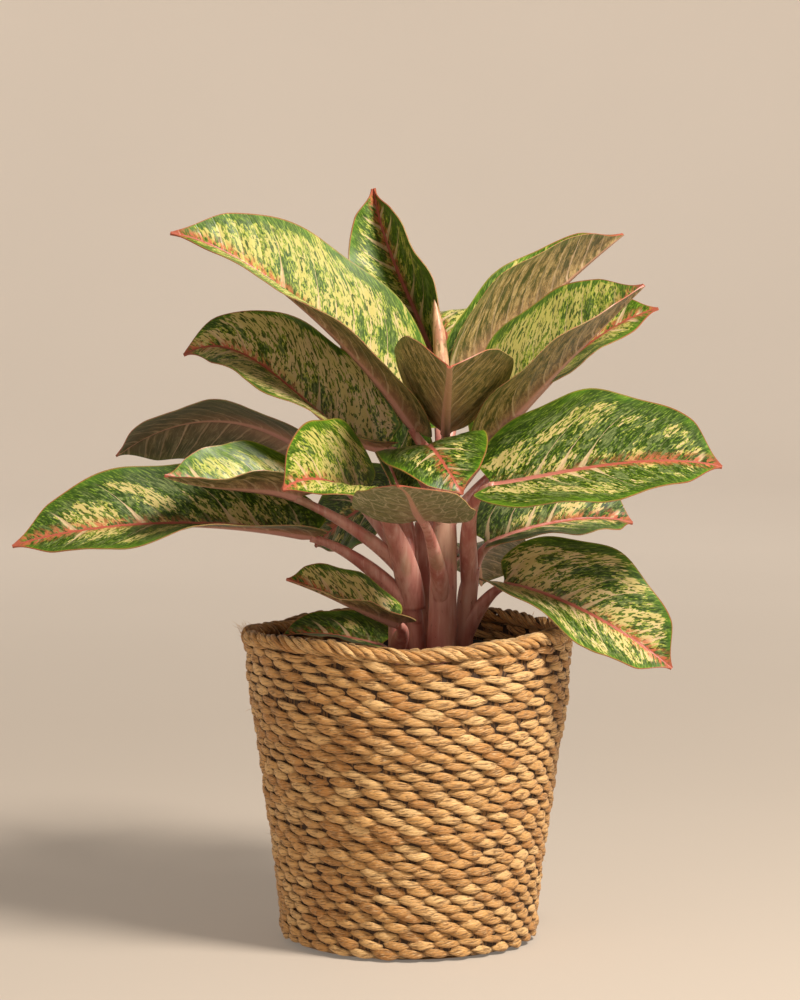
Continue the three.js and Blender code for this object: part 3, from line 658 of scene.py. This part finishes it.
def spline(points, steps):
    """Smooth curve through the points."""
    result = []
    for i in range(len(points) - 1):
        p0, p1 = points[max(i - 1, 0)], points[i]
        p2, p3 = points[i + 1], points[min(i + 2, len(points) - 1)]
        for k in range(steps):
            u = k / steps
            result.append(0.5 * ((2 * p1) + (p2 - p0) * u + (2 * p0 - 5 * p1 + 4 * p2 - p3) * u * u
                                 + (3 * p1 - p0 - 3 * p2 + p3) * u**3))
    return result + [points[-1]]


def make_shoot(shoot, material):
    """A cane with its leaf scars, and the stalk of each leaf that grows out of it."""
    sheet = Sheet()
    rows = SHOOTS[shoot]
    cane = [Vector((x, y, SOIL_TOP + height)) for height, x, y, _ in rows]
    radii = [(i / (len(rows) - 1), row[3]) for i, row in enumerate(rows)]
    joints = random.Random(shoot)
    scars = [joints.uniform(0.04, 0.96) for _ in range(SCARS)]

    def cane_shape(share, turn):
        raised = sum(math.exp(-(((share - scar) / 0.012) ** 2)) for scar in scars)
        return 0.985 + 0.02 * raised + 0.02 * math.sin(3 * turn + 9 * share)

    tube(sheet, spline(cane, 12), lambda share: look_up(radii, share), 28, cane_shape, Vector((0, 1, 0)))
    for name, leaf in LEAVES.items():
        if leaf[0] != shoot:
            continue
        blade = Blade(name)
        sheath = BROAD_SHEATHS.get(name, SHEATH)
        x = look_up([(p.z, p.x) for p in cane], blade.height)
        y = look_up([(p.z, p.y) for p in cane], blade.height)
        start = Vector((x, y, blade.height))
        place, along, _, up = blade.frame(0)
        # The stalk runs on a little way under the foot of the blade
        end = place + along * 3.5 - up * 1.6
        reach = (end - start).length
        controls = (start, start + Vector((0, 0, 0.2 * reach)), end - along * 0.3 * reach, end)
        path = [bezier(controls, i / STALK_STEPS) for i in range(STALK_STEPS + 1)]

        def stalk_shape(share, turn):
            """Hollowed on top near the cane, with a wing on both sides of the hollow."""
            from_top = abs(turn if turn < math.pi else turn - TAU)
            wing = math.exp(-(((from_top - 1.15) / 0.35) ** 2))
            flat = max(0.0, math.cos(turn)) ** 3
            fade = smoothstep(share, 0.8, 0.3)
            return 1 - (0.1 + 0.12 * fade) * flat + 0.13 * wing * fade

        def stalk_radius(share):
            return lerp(sheath, STALK_TIP, smoothstep(share, 0.25, 0.95))

        tube(sheet, path, stalk_radius, 20, stalk_shape)
    sheet.make(f"stalks_{shoot}", [material], [f"shoot_{shoot}"])


def make_spear(material):
    """The rolled leaf: a pointed tube whose radius steps where the roll overlaps."""
    points = [Vector(p) for p in ((24, -2, 398), (24, 4, 424), (22, 10, 450), (19, 16, 475))]
    radii = [(0, 3.5), (0.3, 6), (0.7, 4.5), (1, 0.5)]
    sheet = Sheet()

    def roll(share, turn):
        return 0.9 + 0.16 * (((turn / TAU) + 0.35 * share) % 1.0)

    tube(sheet, spline(points, 12), lambda share: look_up(radii, share), 32, roll, Vector((0, 1, 0)))
    sheet.make("spear", [material], ["leaf_spear"])


def spear_material():
    g = Graph("spear")
    place = g.place()
    grain = g.noise(g.stretch(place, 1.0, 1.0, 0.12), 300.0, 3.0, 0.6)
    blotch = g.noise(g.stretch(place, 1.0, 1.0, 0.4), 160.0, 3.0, 0.7)
    colour = g.mix(g.smooth(grain, 0.4, 0.62), (0.62, 0.38, 0.22), (0.42, 0.2, 0.12))
    colour = g.mix(g.smooth(blotch, 0.58, 0.64, 0.0, 0.7), colour, (0.13, 0.11, 0.03))
    g.bump(grain, 0.4, 0.0006)
    return g.finish(colour, 0.42)


# Basket

# The wall is made in this number of bands. Two strands cross in each of its rows, and swing out and in
# and up and down from the row's middle. A girth is half the width and half the height of a strand.
WALL_BANDS = 3
STRAND_INSET = 3.1
WALL_SWING = (2.1, 1.1)
WALL_GIRTH = (1.25, 3.6)
WALL_STEPS = 9 * STITCHES
WALL_SIDES = 12

# The border's middle lies this far over the wall. Each ply is two blades, turned a little to both sides.
BORDER_RISE = 5.2
BORDER_PLIES = 3
BORDER_TURNS = 16
BORDER_SWING = (3.6, 4.0)
BORDER_GIRTH = (2.3, 2.6)
BORDER_STEPS = 480
BORDER_SIDES = 9
BLADE_TURN = 0.42

CORE_SIDES = 192
FLOOR_PITCH = 6.6
FLOOR_SIDES = 96
WISPS = 190
BORDER_WISPS = 60
LEFT_WISPS = 38

# The "strand" map runs along a strand in units of 10 mm and round it; the "stitch" map holds a
# random number for each stitch and how deep the surface lies between its neighbours, which the
# seagrass material turns into painted shade.

def seagrass_material():
    g = Graph("seagrass")
    strand = g.uv("strand")
    luck, shade_depth, _ = g.split(g.uv("stitch"))
    fibre = g.noise(g.stretch(strand, 0.3, 3.6), 3.2, 3.0, 0.6, 0.15)
    fine = g.noise(g.stretch(strand, 0.5, 9.0), 3.4, 2.0, 0.6)
    blotch = g.noise(strand, 1.3, 3.0, 0.6)
    place = g.noise(g.place(), 24.0, 3.0, 0.6)
    colour = g.mix(g.smooth(luck, 0.0, 0.55), (0.49, 0.225, 0.055), (0.66, 0.36, 0.115))
    colour = g.mix(g.smooth(luck, 0.55, 0.95), colour, (0.78, 0.49, 0.2))
    colour = g.mix(g.smooth(place, 0.54, 0.68, 0.0, 0.4), colour, (0.5, 0.21, 0.045))
    colour = g.mix(g.smooth(blotch, 0.52, 0.7, 0.0, 0.55), colour, (0.42, 0.24, 0.095))
    colour = g.mix(g.smooth(fibre, 0.5, 0.38, 0.0, 0.85), colour, (0.2, 0.09, 0.022))
    colour = g.mix(g.smooth(fine, 0.53, 0.66, 0.0, 0.5), colour, (0.84, 0.62, 0.34))
    # Painted shade: near black where the surface lies deep between its neighbours, in the crevices and
    # behind the outer stitches.
    colour = g.mix(g.smooth(shade_depth, 0.62, 0.1, 0.0, 0.92), colour, (0.06, 0.025, 0.007))
    g.bump(g.plus(fibre, g.times(fine, 0.4)), 1.0, 0.0018)
    return g.finish(colour, g.smooth(fibre, 0.3, 0.7, 0.66, 0.48), Sheen_Weight=0.08)


def stake_and_gap_shade_material():
    g = Graph("basket_stakes_and_gap_shade")
    stake = g.noise(g.stretch(g.place(), 1.0, 1.0, 0.12), 420.0, 3.0, 0.6)
    # Near black to dark brown: partly the stakes' own colour, partly painted shade in the gaps between the
    # strands.
    colour = g.mix(g.smooth(stake, 0.47, 0.62), (0.03, 0.013, 0.004), (0.22, 0.105, 0.034))
    g.bump(stake, 0.8, 0.001)
    return g.finish(colour, 0.85)


def twist_strand(sheet, draw, steps, sides, middle_at, swing, turns, start, girth):
    """A strand of seagrass that winds round the line middle_at(angle), all the way round the basket.

    It is broad where it lies on the outside or the inside, and pinched where it dives through. A
    groove runs along it between its two blades of grass.
    """
    rows = []
    length = draw.uniform(0, 50)
    before = None
    stitches = {}
    groove = draw.uniform(0, TAU)
    wide, tall = girth
    for i in range(steps + 1):
        angle = TAU * i / steps
        radius, height = middle_at(angle)
        phase = turns * angle + start
        number = math.floor((phase + math.pi / 2) / math.pi) % round(2 * turns)
        if number not in stitches:
            stitches[number] = (draw.random(), draw.uniform(0.8, 1.22), draw.uniform(-1, 1),
                                draw.uniform(-1, 1))
        luck, fat, drop, lean = stitches[number]
        face = abs(math.cos(phase))
        broad = face**0.9
        radius += swing[0] * math.cos(phase) + 0.35 * lean * broad
        height += -swing[1] * math.sin(phase) * (1 + 0.25 * lean) + 0.5 * drop * broad
        outward = Vector((math.cos(angle), math.sin(angle), 0))
        point = outward * radius + Vector((0, 0, height))
        if before is not None:
            length += (point - before).length
        before = point
        twist = groove + 0.55 * math.sin(phase) + 1.2 * math.sin(2 * angle + groove)
        ring = []
        for j in range(sides):
            turn = TAU * j / sides + twist
            notch = 1 - 0.26 * (j == 0) - 0.1 * (j == sides // 2)
            x = wide * lerp(0.8, fat, broad) * math.cos(turn) * notch
            z = tall * lerp(0.56, fat, broad) * math.sin(turn) * notch
            # How deep this point lies: low where it faces into the wall and where the strand is pinched, for
            # the painted shade.
            shade_depth = 0.58 + 0.5 * math.cos(phase) * math.cos(turn) - 0.22 * (1 - broad)
            spot = point + outward * x + Vector((0, 0, z))
            ring.append(sheet.add(spot, (length / 10, j / sides), (luck, shade_depth)))
        seam = sheet.add(sheet.points[ring[0]], (length / 10, 1.0), sheet.layers["stitch"][ring[0]])
        rows.append(ring + [seam])
    sheet.grid(rows, flip=True)


def make_wall(material):
    """Rows of twined strands; the stitches of one row lie over the gaps of the next, more or less."""
    draw = random.Random(7)
    row_height = (WALL_TOP - FIRST_ROW) / ROWS
    for band in range(WALL_BANDS):
        sheet = Sheet("strand", "stitch")
        for row in range(band * ROWS // WALL_BANDS, (band + 1) * ROWS // WALL_BANDS):
            z = FIRST_ROW + (row + 0.5) * row_height
            phase = math.pi / 2 * (row % 2) + draw.uniform(-0.55, 0.55)
            sway, lean = draw.uniform(0, TAU), draw.uniform(-0.4, 0.4)

            def middle_at(angle):
                radius = look_up(WALL_PROFILE, z) - STRAND_INSET + lean + 0.5 * math.sin(3 * angle + sway)
                return radius, wall_height(z, angle) + 0.6 * math.sin(5 * angle + 2 * sway)

            for strand in range(2):
                start = phase + strand * math.pi
                twist_strand(sheet, draw, WALL_STEPS, WALL_SIDES, middle_at, WALL_SWING, STITCHES / 2,
                             start, WALL_GIRTH)
        sheet.make(f"basket_wall_{band + 1}", [material], ["basket_body"])


def make_border(material):
    """Three plies of two blades each, twisted into the rope of the border."""
    draw = random.Random(21)
    sheet = Sheet("strand", "stitch")

    def middle_at(angle):
        rise = rim_rise(angle) + 0.5 * math.sin(7 * angle) + 0.3 * math.sin(17 * angle)
        return RIM_RADIUS + 0.5 * math.sin(4 * angle), WALL_TOP + BORDER_RISE + rise

    for ply in range(BORDER_PLIES):
        for blade in (-BLADE_TURN, BLADE_TURN):
            twist_strand(sheet, draw, BORDER_STEPS, BORDER_SIDES, middle_at, BORDER_SWING, BORDER_TURNS,
                         TAU * ply / BORDER_PLIES + blade, BORDER_GIRTH)
    sheet.make("basket_border", [material], ["basket_rim"])


def make_stakes_and_gap_shade(material):
    """The stakes that the strands are twined round: a thin ribbed wall that shows in the gaps, so dark that
    it also stands for painted shade there.
    """
    sheet = Sheet()
    rows = []
    heights = [4, 8, 18, 40, 59, 80, 99, 120, 139, 160, 180, 200, 221]
    for inset, order in ((2.7, heights), (3.6, heights[::-1])):
        for z in order:
            ring = []
            for j in range(CORE_SIDES):
                angle = TAU * j / CORE_SIDES
                radius = look_up(WALL_PROFILE, z) - inset + 0.35 * math.cos(TAU * j / 6)
                spot = (radius * math.cos(angle), radius * math.sin(angle), wall_height(z, angle))
                ring.append(sheet.add(spot))
            rows.append(ring)
    sheet.grid(rows + rows[:1], closed=True)
    sheet.make("basket_stakes_and_gap_shade", [material], ["basket_body"])


def make_floor(material):
    """The basket's floor: rings of strand, seen from above and from below, with painted shade in the grooves
    between the rings.
    """
    sheet = Sheet("strand", "stitch")
    rows = []
    for side in (0, 1):
        radii = [1 + i * 0.5 for i in range(173)]
        for radius in radii if side else radii[::-1]:
            ring = []
            bead = abs(math.sin(math.pi * radius / FLOOR_PITCH)) ** 0.6
            z = 6.2 + 1.6 * bead if side else 2.0 - 1.8 * bead
            for j in range(FLOOR_SIDES + 1):
                angle = TAU * j / FLOOR_SIDES
                knot = 0.35 * math.sin(angle * round(radius / FLOOR_PITCH) * 3 + radius)
                height = z + knot * bead * (1 if side else 0.4)
                spot = (radius * math.cos(angle), radius * math.sin(angle), height)
                strand = (angle * radius / 10, radius / FLOOR_PITCH)
                # The second stitch value is low in the grooves between rings, so painted shade darkens them.
                ring.append(sheet.add(spot, strand, (0.4 + 0.4 * math.sin(radius), 0.2 + bead)))
            rows.append(ring)
    sheet.grid(rows, flip=True)
    sheet.make("basket_floor", [material], ["basket_body"])


def make_wisps(material):
    """Frayed ends, most of them at the border on the left."""
    draw = random.Random(5)
    sheet = Sheet("strand", "stitch")
    for k in range(WISPS):
        angle = draw.uniform(0, TAU)
        length = draw.uniform(2, 5)
        if k < BORDER_WISPS:
            angle = math.radians(draw.gauss(184, 11)) if k < LEFT_WISPS else angle
            length = draw.uniform(4, 11) if k < LEFT_WISPS else length
            height = WALL_TOP + 6 + rim_rise(angle) + draw.uniform(-4, 4)
            radius = RIM_RADIUS + draw.uniform(0, 5)
            rise = draw.uniform(0.1, 1.6)
        else:
            z = draw.uniform(8, WALL_TOP - 4)
            height = wall_height(z, angle)
            radius = look_up(WALL_PROFILE, z)
            rise = draw.uniform(-0.6, 0.6)
        outward = Vector((math.cos(angle), math.sin(angle), 0))
        point = outward * radius + Vector((0, 0, height))
        bend = Vector([draw.uniform(-1, 1) for _ in range(3)])
        thick = draw.uniform(0.18, 0.36)
        rows = []
        for i in range(7):
            share = i / 6
            size = thick * (1 - share * 0.8)
            corners = [Vector((math.cos(turn), math.sin(turn), 0)) * size for turn in circle(4)]
            rows.append([sheet.add(point + corner, (share, 0.1), (0.6, 0.9)) for corner in corners])
            point = point + (outward + Vector((0, 0, rise)) + bend * share).normalized() * length / 6
        sheet.grid(rows, closed=True)
    sheet.make("basket_wisps", [material], ["basket_rim"])


# Pot and soil

POT_SIDES = 120
POT_WALL = 1.8
LIP_RADIUS = 101.5

SOIL_RADIUS = 93.5
SOIL_RINGS = 64
SOIL_SIDES = 128
SOIL_DEPTH = 12
CHIPS = 420
CHIP_REACH = 90
CHIP_CORNERS = ((-1, -1, -1), (-1, 1, -1), (-1, 1, 1), (-1, -1, 1),
                (1, -1, -1), (1, 1, -1), (1, 1, 1), (1, -1, 1))
CHIP_FACES = ((0, 1, 2, 3), (7, 6, 5, 4), (0, 4, 5, 1), (1, 5, 6, 2), (2, 6, 7, 3), (3, 7, 4, 0))


def pot_material():
    """Dark slate plastic, a little dusty."""
    g = Graph("pot")
    grain = g.noise(g.place(), 900.0, 2.0, 0.6)
    dust = g.noise(g.place(), 60.0, 3.0, 0.6)
    colour = g.mix(g.smooth(dust, 0.45, 0.7), (0.024, 0.036, 0.048), (0.045, 0.06, 0.075))
    g.bump(grain, 0.15, 0.0002)
    return g.finish(colour, g.smooth(dust, 0.3, 0.7, 0.38, 0.55))


def make_pot(material):
    """A thin tub that widens upwards, with a lip that stands out at LIP_FOOT and ends at POT_TOP."""
    def outer(z):
        return lerp(76, 97, (z - POT_FLOOR) / (LIP_FOOT - POT_FLOOR))

    foot, middle = 14, 100
    outside = [(0.5, POT_FLOOR), (70, POT_FLOOR), (74, POT_FLOOR + 0.4), (outer(foot), foot),
               (outer(middle), middle), (outer(LIP_FOOT), LIP_FOOT), (97.8, LIP_FOOT)]
    lip = [(-0.6, LIP_FOOT + 0.2), (-0.3, LIP_FOOT + 1.2), (-0.1, POT_TOP - 5), (0, POT_TOP - 3.4),
           (0.1, POT_TOP - 1), (-0.4, POT_TOP - 0.2), (-1.2, POT_TOP), (-POT_WALL, POT_TOP - 0.5),
           (-POT_WALL - 0.4, LIP_FOOT + 2)]
    inside = [(97.4 - POT_WALL, LIP_FOOT - 0.6), (outer(middle) - POT_WALL, middle),
              (outer(foot) - POT_WALL, foot), (0.5, POT_FLOOR + POT_WALL)]
    profile = outside + [(LIP_RADIUS + r, z) for r, z in lip] + inside
    sheet = Sheet()
    rows = [sheet.ring(radius, z, POT_SIDES) for radius, z in profile]
    sheet.grid(rows, closed=True)
    sheet.face(tuple(rows[0][::-1]))
    sheet.face(tuple(rows[-1]))
    piece = sheet.make("pot", [material], ["nursery_pot"])
    shading = piece.modifiers.new("edges", "WEIGHTED_NORMAL")
    shading.keep_sharp = True


def soil_material():
    """Dark crumbly earth."""
    g = Graph("soil")
    place = g.place()
    crumb = g.noise(place, 260.0, 5.0, 0.7)
    broad = g.noise(place, 45.0, 2.0)
    colour = g.mix(g.smooth(crumb, 0.4, 0.65), (0.018, 0.01, 0.006), (0.085, 0.05, 0.028))
    colour = g.mix(g.smooth(broad, 0.5, 0.7, 0.0, 0.5), colour, (0.05, 0.032, 0.02))
    g.bump(crumb, 1.0, 0.002)
    return g.finish(colour, 0.95)


def chip_material():
    """Brown bark."""
    g = Graph("bark")
    place = g.place()
    patch = g.noise(place, 90.0, 2.0)
    grain = g.noise(place, 700.0, 3.0, 0.6)
    colour = g.mix(g.smooth(patch, 0.42, 0.6), (0.03, 0.016, 0.009), (0.16, 0.085, 0.045))
    g.bump(grain, 0.6, 0.0006)
    return g.finish(colour, 0.85)


def heap(radius):
    """How far the soil's heap rises at a radius, from 0 at the pot to 1 in the middle."""
    return smoothstep(SOIL_RADIUS - radius, 0, 26)


def make_soil(material):
    sheet = Sheet()
    rows = []
    for i in range(SOIL_RINGS):
        radius = SOIL_RADIUS * (1 - i / SOIL_RINGS)
        ring = []
        for angle in circle(SOIL_SIDES):
            x, y = radius * math.cos(angle), radius * math.sin(angle)
            lumps = 2.6 * noise.noise(Vector((x / 14, y / 14, 1)))
            lumps += 1.2 * noise.noise(Vector((x / 4, y / 4, 2)))
            z = SOIL_TOP - 2.4 + 3.4 * heap(radius) + lumps
            ring.append(sheet.add((x, y, z)))
        rows.append(ring)
    skirt = sheet.ring(SOIL_RADIUS, SOIL_TOP - SOIL_DEPTH, SOIL_SIDES)
    sheet.grid([skirt] + rows, closed=True)
    sheet.face(tuple(rows[-1]))
    sheet.face(tuple(skirt[::-1]))
    sheet.make("soil", [material], ["potting_mix"])


def make_chips(material):
    """Bark chips, strewn evenly over the soil and partly sunk in it."""
    draw = random.Random(3)
    sheet = Sheet()
    for _ in range(CHIPS):
        angle, radius = draw.uniform(0, TAU), CHIP_REACH * math.sqrt(draw.random())
        x, y = radius * math.cos(angle), radius * math.sin(angle)
        z = SOIL_TOP - 1.2 + 3.0 * heap(radius) + draw.uniform(-0.6, 1.4)
        size = draw.uniform(1.2, 3.4)
        axis = Vector((draw.uniform(-1, 1), draw.uniform(-1, 1), draw.uniform(-0.3, 0.3))).normalized()
        side = axis.cross(Vector((0, 0, 1))).normalized()
        over = side.cross(axis)
        corners = []
        for a, b, c in CHIP_CORNERS:
            spot = axis * a * size * draw.uniform(0.8, 1.3) + side * b * size * draw.uniform(0.4, 0.7)
            spot += over * c * size * draw.uniform(0.2, 0.4)
            corners.append(sheet.add(Vector((x, y, z)) + spot))
        for face in CHIP_FACES:
            sheet.face(tuple(corners[i] for i in face))
    piece = sheet.make("bark_chips", [material], ["potting_mix"])
    for polygon in piece.data.polygons:
        polygon.use_smooth = False


# The plant

top, edge = leaf_top(), leaf_margin()
under, under_net = leaf_under("leaf_under", False), leaf_under("leaf_under_netted", True)
for index, name in enumerate(LEAVES):
    make_leaf(name, index, top, under_net if name == "front" else under, edge)
stalk = stalk_material()
for shoot in SHOOTS:
    make_shoot(shoot, stalk)
make_spear(spear_material())

straw = seagrass_material()
make_wall(straw)
make_border(straw)
make_wisps(straw)
make_floor(straw)
make_stakes_and_gap_shade(stake_and_gap_shade_material())
make_pot(pot_material())
make_soil(soil_material())
make_chips(chip_material())


# Floor, lights and camera

# The floor is a disc of this radius in mm, and rises in a cove to a round wall, so that nothing stands
# between the plant and a camera on any side.
FLOOR_RADIUS = 3600
COVE_RADIUS = 1200
WALL_HEIGHT = 4000
COVE_STEPS = 16
STUDIO_SIDES = 96
GLOW = 0.4
SKY_LIGHT = 0.15

# The camera's place in metres, the angle from straight down that it looks at, and its lens in mm
CAMERA_PLACE = (-0.0066, -2.8, 0.612)
CAMERA_ANGLE = 84.2
CAMERA_LENS = 136.8


def studio_material():
    """Pale paint, darkened round the plant as painted shade, that also glows a little, to light the plant
    softly.
    """
    g = Graph("studio")
    mottle = g.noise(g.place(), 1.1, 3.0, 0.5)
    colour = g.mix(mottle, (0.6, 0.53, 0.455), (0.66, 0.585, 0.505))
    across, along, _ = g.split(g.place())
    squares = g.plus(g.times(across, across), g.times(along, along))
    away = g.math("SQRT", squares)
    # Painted shade: the floor darkens towards the plant.
    colour = g.mix(g.smooth(away, 0.6, 3.0, 0.56, 0.0), colour, (0.2, 0.165, 0.13))
    g.feed(g.shader.inputs["Emission Color"], colour)
    return g.finish(colour, 0.9, Emission_Strength=GLOW)


def make_studio():
    sheet = Sheet()
    profile = [(10, 0), (1500, 0), (FLOOR_RADIUS, 0)]
    for k in range(1, COVE_STEPS + 1):
        turn = k * math.pi / 2 / COVE_STEPS
        out, rise = COVE_RADIUS * math.sin(turn), COVE_RADIUS * (1 - math.cos(turn))
        profile.append((FLOOR_RADIUS + out, rise))
    profile.append((FLOOR_RADIUS + COVE_RADIUS, WALL_HEIGHT))
    rows = [sheet.ring(radius, z, STUDIO_SIDES) for radius, z in profile]
    sheet.grid(rows, closed=True, flip=True)
    sheet.link("studio_floor", [studio_material()])


def area_light(name, place, target, size, power, colour):
    """A round lamp at a place, in metres, that faces the target."""
    light = bpy.data.lights.new(name, "AREA")
    light.shape = "DISK"
    light.size = size
    light.energy = power
    light.color = colour
    lamp = bpy.data.objects.new(name, light)
    lamp.location = place
    lamp.rotation_euler = (Vector(target) - Vector(place)).to_track_quat("-Z", "Y").to_euler()
    bpy.context.collection.objects.link(lamp)


make_studio()
area_light("key", (1.28, -1.07, 2.24), (0, 0, 0.25), 0.75, 116, (1.0, 0.92, 0.82))
area_light("fill", (-1.8, -2.2, 1.2), (0, 0, 0.25), 1.8, 4, (1.0, 0.95, 0.9))
world = bpy.data.worlds.new("studio")
world.use_nodes = True
sky = world.node_tree.nodes["Background"]
sky.inputs["Color"].default_value = (0.95, 0.88, 0.8, 1)
sky.inputs["Strength"].default_value = SKY_LIGHT
bpy.context.scene.world = world

camera = bpy.data.cameras.new("camera")
camera.sensor_width = 36
camera.lens = CAMERA_LENS
camera_object = bpy.data.objects.new("camera", camera)
camera_object.location = CAMERA_PLACE
camera_object.rotation_euler = (math.radians(CAMERA_ANGLE), 0, 0)
bpy.context.collection.objects.link(camera_object)
bpy.context.scene.camera = camera_object
bpy.context.scene.view_settings.view_transform = "Standard"
